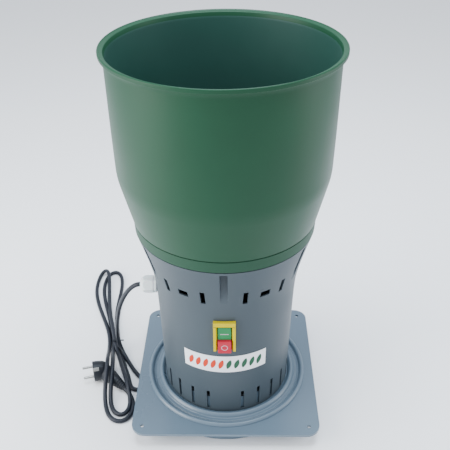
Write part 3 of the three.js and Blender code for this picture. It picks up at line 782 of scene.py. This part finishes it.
for face in hopper.data.polygons:
    looks_in = face.normal.xy.dot(face.center.xy) < 0
    if looks_in and face.center.z < SHEEN_TOP * MM:
        face.material_index = 1
print("painted sheen faces:", sum(face.material_index for face in hopper.data.polygons))

# %% [markdown]
# ## Seat ring
# Under the hopper a shallow green pan closes the housing, with a rim that the hopper sits on
# and six posts for the screws from below. It is spun like the hopper, the posts are one rod
# set round the axis, and the feed opening is cut with a block, whose corners a bevel rounds.

# %% Seat ring
ring_low, ring_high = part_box("seat_ring")
RING_R = ring_high.x / MM
RING_Z = ring_low.z / MM
PAN_Z = RING_Z + 9.7
FEED_AT = 79
FEED_ACROSS, FEED_DEEP = 46, 20
RING_SCREWS_AT = 137
SIXTHS = range(0, 360, 60)


def feed_opening(name, low, high):
    """The mouth that grain falls through, as a cutter with round corners."""
    x, y = FEED_ACROSS / 2, FEED_DEEP / 2
    return block(name, (-x, FEED_AT - y, low), (x, FEED_AT + y, high), 2.5)


seat = turned("seat_ring_shell", softened([
    (0, PAN_Z - 3.5, 0), (114, PAN_Z - 3.5, 2), (140.5, RING_Z + 16.7, 2),
    (144.4, RING_Z + 16.7, 0.4), (144.4, RING_Z, 0.2), (146.2, RING_Z, 0.2),
    (146.2, RING_Z + SEAM, 0.2), (RING_R - 1.2, RING_Z + SEAM, 0.4),
    (RING_R, RING_Z + 20.4, 0.9), (145.2, RING_Z + 20.4, 0.4), (145, RING_Z + 29.7, 0.9),
    (142, RING_Z + 29.7, 0.9), (142, RING_Z + 21.2, 2), (116, PAN_Z, 3), (0, PAN_Z, 0),
], 3))
screws_place = Matrix.Translation((0, -RING_SCREWS_AT * MM, 0))
post = moved(rod("post", 4.6, RING_Z + 0.2, RING_Z + 17.2, 24), screws_place)
combined(seat, around(post, SIXTHS), "UNION")
combined(seat, feed_opening("feed_cut", PAN_Z - 8, PAN_Z + 5), "DIFFERENCE")
combined(seat, rod("pivot_cut", 4.4, PAN_Z - 8, PAN_Z + 2), "DIFFERENCE")
dress(seat, ring_pp, "mill", ["seat_ring"])

# %% [markdown]
# ## Feed shutter and bolt
# A steel disc with an opening like the pan's turns on a bolt in the middle: when the two
# openings meet, grain runs through. The disc is a spun outline with the same block cut out of
# it 50 degrees further round, so that it rests closed, and a lip stands up as a handle.

# %% Feed shutter and bolt
SHUT_BY = 50  # degrees between the two openings when the shutter is closed

# Zinc plated sheet is a soft grey with a broad, milky reflection.
steel_sheet = metal("zinc_plated_sheet", "#8B9092", "#6F7477", 0.38, 0.8)
shutter_low, shutter_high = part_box("feed_shutter")
LEAF_Z = shutter_low.z / MM
shutter = turned("shutter_leaf", softened([
    (4.6, LEAF_Z, 0.4), (110, LEAF_Z, 0.6), (110, LEAF_Z + 2.5, 0.8), (4.6, LEAF_Z + 2.5, 0.4),
]), 128)
leaf_cut = swung(feed_opening("leaf_cut", LEAF_Z - 5, LEAF_Z + 8), SHUT_BY)
combined(shutter, leaf_cut, "DIFFERENCE")
lip = block("shutter_lip", (-2, -88, LEAF_Z + 1), (2, -52, shutter_high.z / MM), 1.4)
combined(shutter, swung(lip, 20), "UNION")
eased(shutter, 0.3, 2)
dress(shutter, steel_sheet, "feed_shutter", ["feed_shutter"])

bolt_low, bolt_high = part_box("shutter_bolt")
BOLT_TOP = bolt_high.z / MM
bolt = turned("bolt_turned", softened([
    (0, bolt_low.z / MM, 0), (8, bolt_low.z / MM, 0.6), (8, PAN_Z - 3.8, 0.4),
    (4, PAN_Z - 3.8, 0), (4, PAN_Z + 3.2, 0), (11, PAN_Z + 3.2, 0.6), (11, BOLT_TOP - 4, 2.5),
    (6, BOLT_TOP, 3), (0, BOLT_TOP, 0),
]), 48)
combined(bolt, six_sided("socket", 7, BOLT_TOP - 3.6, BOLT_TOP + 1), "DIFFERENCE")
dress(bolt, steel_sheet, "mill", ["shutter_bolt"])

# %% [markdown]
# ## Housing
# The housing is a moulded waist that flares up to the hopper. Three kinds of opening repeat
# round it: six pockets that let a screwdriver reach the ring screws, groups of three vents
# between them, and a row of slots low down beside the milling chamber. A flat grid bent round
# would stretch, so the shell is spun and the openings are cut with tools set round the axis.

# %% Housing shell
housing_low, housing_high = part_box("housing")
SHELL_FOOT = housing_low.z / MM
SHELL_TOP = housing_high.z / MM
SHELL_WALL = 3
shell_line = flowing([
    (115.4, SHELL_FOOT), (118.2, 150), (120.2, 225), (123.6, 273), (132.6, 316), (147.6, SHELL_TOP),
])


def shell_outline(grow):
    """The housing's outer line, closed along the axis, as the body that it encloses."""
    return [(0, SHELL_FOOT), *[(r + grow, z) for r, z in shell_line], (0, SHELL_TOP)]


inner_line = [(r - SHELL_WALL, z) for r, z in reversed(shell_line)]
housing = turned("housing_shell", [*shell_line, *inner_line])

# %% [markdown]
# Behind each pocket the wall is thickened by a boss, so that the pocket has a back. A block is
# set in six places, cut down to the body that the shell encloses, and joined to the shell. The
# pockets and the holes for the screws are then cut out of the thicker wall.

# %% Pockets for the ring screws
BOSS_WALL = 3.5
POCKET_FLOOR = 128
POCKET_HALF = 6
POCKET_TOP = 364
boss_half = POCKET_HALF + BOSS_WALL

boss = block("boss", (-boss_half, -150, 302), (boss_half, -POCKET_FLOOR + BOSS_WALL, SHELL_TOP + 5))
bosses = around(boss, SIXTHS)
combined(bosses, turned("blank", shell_outline(-0.4)), "INTERSECT")
combined(housing, bosses, "UNION")
driver = moved(rod("driver", 2.3, POCKET_TOP - 2, SHELL_TOP + 2, 20), screws_place)
combined(housing, around(driver, SIXTHS), "DIFFERENCE")
pocket = block("pocket", (-POCKET_HALF, -170, 270), (POCKET_HALF, -POCKET_FLOOR, POCKET_TOP), 1.6)
cutters = [around(pocket, SIXTHS)]

# %% [markdown]
# The vents cool the motor and the low slots let air in round the chamber. Each is one bevelled
# block, copied round at even angles. All the blocks stay clear of each other, so they are
# joined and cut in one go, together with the openings for the switch and the gland.

# %% Vents, slots and openings
VENT_Z = 304.5
TALL_HALF = (4, 13.5)
WIDE_HALF = (8.75, 6)
SLOT_HALF = 2.9
SLOT_LOW, SLOT_HIGH = 41, 85
SWITCH_HOLE_HALF = 15.4
SWITCH_HOLE_TOP = 247.8
GLAND_HOLE_R = 10.4


def vent(name, half):
    """A cutter for one vent at the front, from half its width and half its height."""
    x, z = half
    return block(name, (-x, -150, VENT_Z - z), (x, -110, VENT_Z + z), 0.8)


tall_angles = [a + b for a in SIXTHS for b in (15, 45)]
cutters.append(around(vent("vent_tall", TALL_HALF), tall_angles))
cutters.append(around(vent("vent_wide", WIDE_HALF), range(30, 360, 60)))
slot = block("slot", (-SLOT_HALF, -125, SLOT_LOW), (SLOT_HALF, -106, SLOT_HIGH), 0.4)
slot_angles = [a for a in range(0, 360, 15) if a % 90]
cutters.append(around(slot, slot_angles))
switch_low, switch_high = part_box("switch_bezel")
switch_foot = (-SWITCH_HOLE_HALF, -130, switch_low.z / MM - 1)
cutters.append(block("switch_cut", switch_foot, (SWITCH_HOLE_HALF, -100, SWITCH_HOLE_TOP)))
cutters.append(moved(rod("gland_cut", GLAND_HOLE_R, 100, 140), gland_lay))
combined(housing, joined(cutters, "cutters"), "DIFFERENCE")
print("vents:", len(tall_angles) + len(SIXTHS), "slots:", len(slot_angles))
eased(housing, 0.45, 2, 40)
dress(housing, grey_abs, "mill", ["housing"])

# %% [markdown]
# ## Base plate
# A square plate with round corners carries the mill. Two rolled beads run round the foot of the
# housing, a skirt goes down to guide the meal, and a collar stands up inside to hold the milling
# chamber. The square and the round part are made apart and joined: a cube with its four upright
# edges bevelled, a hole in its middle, and the spun beads, skirt and collar that fill the hole.

# %% Base plate
base_low, base_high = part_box("base_plate")
half = (base_high.x - base_low.x) / 2 / MM
PLATE_TOP = 34
PLATE_UNDER = 29
PLATE_CORNER = 24
HOLE_AT = 146.5
HOLE_R = 3.5
COLLAR_IN, COLLAR_OUT, COLLAR_TOP = 108, 111.5, 66
SKIRT_IN, SKIRT_OUT = 143.5, 147.5

plate = block("base_moulding", (-half, -half, PLATE_UNDER), (half, half, PLATE_TOP))
bpy.ops.object.mode_set(mode="EDIT")
bpy.ops.mesh.select_mode(type="EDGE")
bpy.ops.mesh.select_all(action="DESELECT")
bpy.ops.object.mode_set(mode="OBJECT")
for edge in plate.data.edges:
    a, b = (plate.data.vertices[v].co for v in edge.vertices)
    edge.select = abs(a.z - b.z) > 1 * MM
bpy.ops.object.mode_set(mode="EDIT")
bpy.ops.mesh.bevel(offset=PLATE_CORNER * MM, segments=12, affect="EDGES")
bpy.ops.object.mode_set(mode="OBJECT")
holes = [rod("middle", SKIRT_OUT - 2, PLATE_UNDER - 1, PLATE_TOP + 1, 160)]
for x in (-HOLE_AT, HOLE_AT):
    for y in (-HOLE_AT, HOLE_AT):
        drill = rod("drill", HOLE_R, PLATE_UNDER - 1, PLATE_TOP + 1, 32)
        holes.append(moved(drill, Matrix.Translation((x * MM, y * MM, 0))))
combined(plate, joined(holes, "holes"), "DIFFERENCE")

round_part = turned("round_part", softened([
    # under the plate and down the skirt
    (COLLAR_IN, PLATE_UNDER, 0.6), (SKIRT_IN, PLATE_UNDER, 0.6), (SKIRT_IN, 0, 0.7),
    (SKIRT_OUT, 0, 0.9), (SKIRT_OUT, PLATE_TOP, 0),
    # over the outer bead, through the gutter and over the inner bead
    (149.6, 34.4, 1.2), (148, 38.2, 1.6), (144.6, 40.4, 2), (141, 38.4, 1.6), (139, 33.4, 1),
    (136.6, 33.2, 0.8), (135.4, 35, 1.2), (129.6, 35, 1.6), (127.8, 39.2, 1.8),
    (123.6, 42.4, 2.2), (119.4, 40, 2), (117.4, 36, 1),
    # up the collar
    (COLLAR_OUT, 36, 0.8), (COLLAR_OUT, COLLAR_TOP, 0.9), (COLLAR_IN, COLLAR_TOP, 0.9),
], 4))
combined(plate, round_part, "UNION")

# The collar is notched over each of the four base screws, which come up through the plate.
BASE_SCREWS_AT = 109
QUARTERS = range(0, 360, 90)
notch = block("notch", (-5.8, -115.5, 36), (5.8, -103.5, 96))
screw_way = rod("screw_way", 2.4, 20, 45, 20)
moved(screw_way, Matrix.Translation((0, -BASE_SCREWS_AT * MM, 0)))
combined(plate, around(notch, QUARTERS), "DIFFERENCE")
combined(plate, around(screw_way, QUARTERS), "DIFFERENCE")
eased(plate, 0.7, 2, 50)
dress(plate, base_abs, "mill", ["base_plate"])

# %% [markdown]
# ## Label
# A printed vinyl label wraps the front of the housing. It is a vertical edge spun through the
# label's angle, so that it follows the shell exactly, and given the thickness of vinyl.

# %% Label sheet
label_low, label_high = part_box("label_panel")
LABEL_LOW = label_low.z / MM
LABEL_TOP = label_high.z / MM
LABEL_HALF_ANGLE = math.degrees(math.asin(label_high.x / abs(label_low.y)))
LABEL_THICK = 0.4
LABEL_LIFT = 0.35  # the air between the sheet and the shell's line, for the glue


def shell_radius(z):
    """The housing's outer radius at a height, read off its line."""
    for (r0, z0), (r1, z1) in zip(shell_line, shell_line[1:]):
        if z0 <= z <= z1:
            return r0 + (r1 - r0) * (z - z0) / (z1 - z0)
    return shell_line[-1][0]


def wrapped_sheet(name, low, high, half_angle, lift):
    """A strip of the housing's surface about the front, lifted off it by a little."""
    levels = [low + (high - low) * i / 6 for i in range(7)]
    sheet = draw(name, [(shell_radius(z) + lift, 0, z) for z in levels])
    bpy.ops.mesh.select_all(action="SELECT")
    bpy.ops.mesh.spin(
        steps=48,
        angle=math.radians(2 * half_angle),
        center=(0, 0, 0),
        axis=(0, 0, 1),
    )
    bpy.ops.mesh.select_all(action="SELECT")
    bpy.ops.mesh.normals_make_consistent(inside=False)
    bpy.ops.object.mode_set(mode="OBJECT")
    return sheet


def facing_out(piece):
    """Turns a sheet's faces away from the mill's axis."""
    pick(piece)
    face = piece.data.polygons[0]
    if face.normal.dot(Vector((*face.center.xy, 0))) < 0:
        bpy.ops.object.mode_set(mode="EDIT")
        bpy.ops.mesh.select_all(action="SELECT")
        bpy.ops.mesh.flip_normals()
        bpy.ops.object.mode_set(mode="OBJECT")
    return piece


def thickened(piece, thickness):
    """Gives a sheet its thickness, outwards."""
    pick(piece)
    skin = piece.modifiers.new("skin", "SOLIDIFY")
    skin.thickness = thickness * MM
    skin.offset = 1
    bpy.ops.object.modifier_apply(modifier=skin.name)
    return piece


# Vinyl film is rolled, not moulded, so its surface is nearly flat and even.
vinyl = moulded_plastic("white_vinyl", "#F4F5F6", "#E9ECEE", 1.5, 0.35, 0.4, 0.03)
# Screen ink lies on the film as a thin opaque coat with a dull gloss.
orange_ink = moulded_plastic("orange_red_print", "#CF3A1C", "#C23214", 1.5, 0.4, 0.2, 0.02)
green_ink = moulded_plastic("green_print", "#2B5A40", "#244F37", 1.5, 0.4, 0.2, 0.02)

label = wrapped_sheet("label_sheet", LABEL_LOW, LABEL_TOP, LABEL_HALF_ANGLE, LABEL_LIFT)
swung(label, -90 + LABEL_HALF_ANGLE)
thickened(facing_out(label), LABEL_THICK)
dress(label, vinyl, "mill", ["label_panel"])
print("label runs from", [round(c, 3) for c in label.bound_box[0]])

# %% [markdown]
# The print is a plain row of leaning seed kernels, in orange red and then green. Each kernel is
# its own thin patch, because a flat printed colour has a crisp edge that a noise pattern hasn't.
# A disc is stretched, narrowed towards its tips, stood up and leaned, and its points are then
# laid on the curve of the shell.

# %% Printed kernels
KERNEL_COUNT = 10
KERNEL_STEP = 6.4  # degrees round the housing
KERNEL_HIGH = 21
KERNEL_WIDE = 8.4
KERNEL_LEAN = -16
KERNEL_TAPER = 0.35
PRINT_THICK = 0.1
PRINT_LIFT = LABEL_LIFT + LABEL_THICK + 0.2  # clear of the vinyl, so that neither shows through
kernel_z = (LABEL_LOW + LABEL_TOP) / 2
kernels = {"orange": [], "green": []}
for i in range(KERNEL_COUNT):
    bpy.ops.object.select_all(action="DESELECT")
    bpy.ops.mesh.primitive_circle_add(vertices=28, radius=0.5 * MM, fill_type="TRIFAN")
    kernel = bpy.context.object
    kernel.scale = (KERNEL_WIDE, KERNEL_HIGH, 1)
    bpy.ops.object.transform_apply(scale=True)
    for vertex in kernel.data.vertices:
        tip = abs(vertex.co.y) / (KERNEL_HIGH / 2 * MM)
        vertex.co.x *= 1 - KERNEL_TAPER * tip**2
    stand = Matrix.Rotation(math.radians(90), 4, "X")
    lean = Matrix.Rotation(math.radians(KERNEL_LEAN), 4, "Z")
    out = (shell_radius(kernel_z) + PRINT_LIFT) * MM
    moved(kernel, Matrix.Translation((0, -out, kernel_z * MM)) @ stand @ lean)
    for vertex in kernel.data.vertices:
        angle = vertex.co.x / out
        lift = out + (shell_radius(vertex.co.z / MM) - shell_radius(kernel_z)) * MM
        vertex.co.x, vertex.co.y = lift * math.sin(angle), -lift * math.cos(angle)
    swung(kernel, (i - (KERNEL_COUNT - 1) / 2) * KERNEL_STEP)
    kernels["orange" if i < KERNEL_COUNT / 2 else "green"].append(kernel)
for colour, ink in (("orange", orange_ink), ("green", green_ink)):
    prints = joined(kernels[colour], f"kernels_{colour}")
    dress(thickened(facing_out(prints), PRINT_THICK), ink, "mill")

# %% [markdown]
# ## Switch
# The switch sits in a yellow guard shaped like an upside-down U, whose side rails slope in
# towards the buttons. A rail is its own section, drawn flat and extruded upwards, because the
# slope would be hard to bevel into a block. The crossbar is a block, and the back of the whole
# guard is cut to the curve of the shell.

# %% Switch guard
FACE_Y = switch_low.y / MM
GUARD_LOW = switch_low.z / MM + 2.5
GUARD_TOP = switch_high.z / MM
GUARD_HALF = 18.2
GUARD_BAR = 8.8
GUARD_RIM = 4.2
WELL_HALF = 11.8
GUARD_BACK = -116

rails = []
for side in (1, -1):
    section = [(GUARD_HALF, GUARD_BACK), (GUARD_HALF, FACE_Y), (GUARD_HALF - GUARD_RIM, FACE_Y),
               (WELL_HALF, FACE_Y + 4.6), (WELL_HALF, GUARD_BACK)]
    rail = draw("rail", [(side * x, y, GUARD_LOW) for x, y in [*section, section[0]]])
    bpy.ops.mesh.select_all(action="SELECT")
    bpy.ops.mesh.remove_doubles(threshold=0.01 * MM)
    bpy.ops.mesh.edge_face_add()
    high = GUARD_TOP - GUARD_LOW - 0.5
    bpy.ops.mesh.extrude_region_move(TRANSFORM_OT_translate={"value": (0, 0, high * MM)})
    bpy.ops.mesh.select_all(action="SELECT")
    bpy.ops.mesh.normals_make_consistent(inside=False)
    bpy.ops.object.mode_set(mode="OBJECT")
    rails.append(rail)
guard_foot = (-GUARD_HALF, FACE_Y, GUARD_TOP - GUARD_BAR)
guard = block("switch_guard", guard_foot, (GUARD_HALF, GUARD_BACK, GUARD_TOP))
for rail in rails:
    combined(guard, rail, "UNION")
combined(guard, turned("blank", shell_outline(0.2)), "DIFFERENCE")
eased(guard, 0.7, 3, 25)
dress(guard, yellow_abs, "mill", ["switch_bezel"])

# %% [markdown]
# The green start button sits back inside the guard and the red stop button stands out, so that
# a hand finds it first. Both are bevelled blocks with a shallow dish for the fingertip, cut by
# a wide rod that lies across them. The marks are the plain bar and ring that every such switch
# carries: pieces of their own, sunk into the buttons, in the pale paint that fills real ones.

# %% Buttons
DISH_R = 60
DISH_DEEP = 0.5

# The marks are rubbed dull and pinkish by fingers, not a clean white.
mark_paint = moulded_plastic("pale_mark_paint", "#C2B0B4", "#B5A3A7", 1.2, 0.5, 0.3, 0.05)


def push_button(node, finish):
    """A push button that fills its frame node, with rounded edges and a slightly hollow face."""
    low, high = (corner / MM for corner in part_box(node))
    button = block(node + "_cap", low, high, 1.3, 4)
    dish = rod("dish", DISH_R, -15, 15, 96)
    lie = Matrix.Rotation(math.radians(90), 4, "Y")
    dish_at = Vector((0, low.y - DISH_R + DISH_DEEP, (low.z + high.z) / 2))
    moved(dish, Matrix.Translation(dish_at * MM) @ lie)
    combined(button, dish, "DIFFERENCE")
    dress(button, finish, node, [node])
    return low, high


start_low, start_high = push_button("start_button", green_abs)
stop_low, stop_high = push_button("stop_button", red_abs)

BAR_HALF = 7
MARK_HALF = 0.7  # half the stroke of the bar, and half the depth of the ring
bar_z = (start_low.z + start_high.z) / 2 - 2
bar_foot = (-BAR_HALF, start_low.y + 0.15, bar_z - MARK_HALF)
bar = block("start_mark", bar_foot, (BAR_HALF, start_low.y + 1.5, bar_z + MARK_HALF), 0.2, 2)
dress(bar, mark_paint, "start_button")
ring_z = (stop_low.z + stop_high.z) / 2 - 0.5
ring = turned("stop_mark", softened([
    (4.4, -MARK_HALF, 0.2), (5.5, -MARK_HALF, 0.2), (5.5, MARK_HALF, 0.2), (4.4, MARK_HALF, 0.2),
], 2), 48)
face_front = Matrix.Rotation(math.radians(90), 4, "X")
moved(ring, Matrix.Translation(Vector((0, stop_low.y + 0.75, ring_z)) * MM) @ face_front)
dress(ring, mark_paint, "stop_button")

# %% [markdown]
# ## Pieces kept from the frame
# The motor, the chamber's steel and the fasteners already have the right shape, so they stay
# as they are and only get a finish. Each finish is what the real piece is made of, except the
# chamber plate, whose dark grey is painted shade.

# %% Finishes of the kept pieces
# Die cast aluminium is pale and matt, with the skin of its mould.
cast_alloy = metal("cast_aluminium", "#A9ADAF", "#8B9092", 0.45, 1.2)
# A stack of thin electrical sheets, with the marks that the press drew along the stack.
lamination = metal("stacked_lamination_steel", "#7D8184", "#5E6265", 0.48, 0.5, (1, 1, 0.02))
# Ground on centres, so its fine marks run round the axis and it is nearly a mirror.
ground_steel = metal("ground_bearing_steel", "#CFD2D3", "#B5B9BB", 0.16, 0.3, (1, 1, 8))
# Hardened and tempered steel, greyed by heat and polished by grain.
hard_steel = metal("hardened_hammer_steel", "#8F9496", "#6C7073", 0.3, 0.7)
# The chamber plate is coloured a sooty dark grey as painted shade, so that the top of each low slot
# reads dark.
shade_dark_steel = metal("painted_shade_dark_steel", "#3C3E40", "#2A2C2E", 0.55, 0.6)
# Bright zinc on small turned and pressed fasteners.
zinc = metal("zinc_plated_steel", "#C3C8CB", "#A2A8AC", 0.28, 0.4)
# Glass fibres roughen the skin of the moulded fan.
fan_nylon = moulded_plastic("black_glass_filled_nylon", "#1B1C1E", "#141517", 0.7, 0.5, 0.4, 0.2)
# The capacitor's can is a smooth off-white thermoplastic.
can_plastic = moulded_plastic("white_capacitor_can", "#DCDDD9", "#CFD0CB", 1.1, 0.35, 0.5, 0.05)

KEPT = {
    zinc: ["disc_nut", "sieve_retainer", "capacitor_clip"],
    shade_dark_steel: ["chamber_plate"],
    # the chamber plate's dark grey is painted shade
    cast_alloy: ["motor_casing", "motor_lower_shield", "motor_upper_shield"],
    lamination: ["motor_stator", "motor_rotor"],
    ground_steel: ["motor_shaft", "bearing_lower", "bearing_upper", "sieve_ring"],
    hard_steel: ["hammer_disc"],
    fan_nylon: ["cooling_fan"],
    can_plastic: ["run_capacitor"],
    black_abs: ["switch_body"],
    white_pa: ["gland_locknut"],
    grey_abs: ["feed_chute", "chute_foot"],
}
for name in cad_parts:
    if name.startswith(("ring_screw", "base_screw", "wing_nut")):
        KEPT[zinc].append(name)
    if name.startswith("hammer_") and name != "hammer_disc":
        KEPT[hard_steel].append(name)
for finish, names in KEPT.items():
    for name in names:
        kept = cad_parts[name]
        kept.data.materials.clear()
        kept.data.materials.append(finish)
print("kept pieces:", sum(len(names) for names in KEPT.values()))
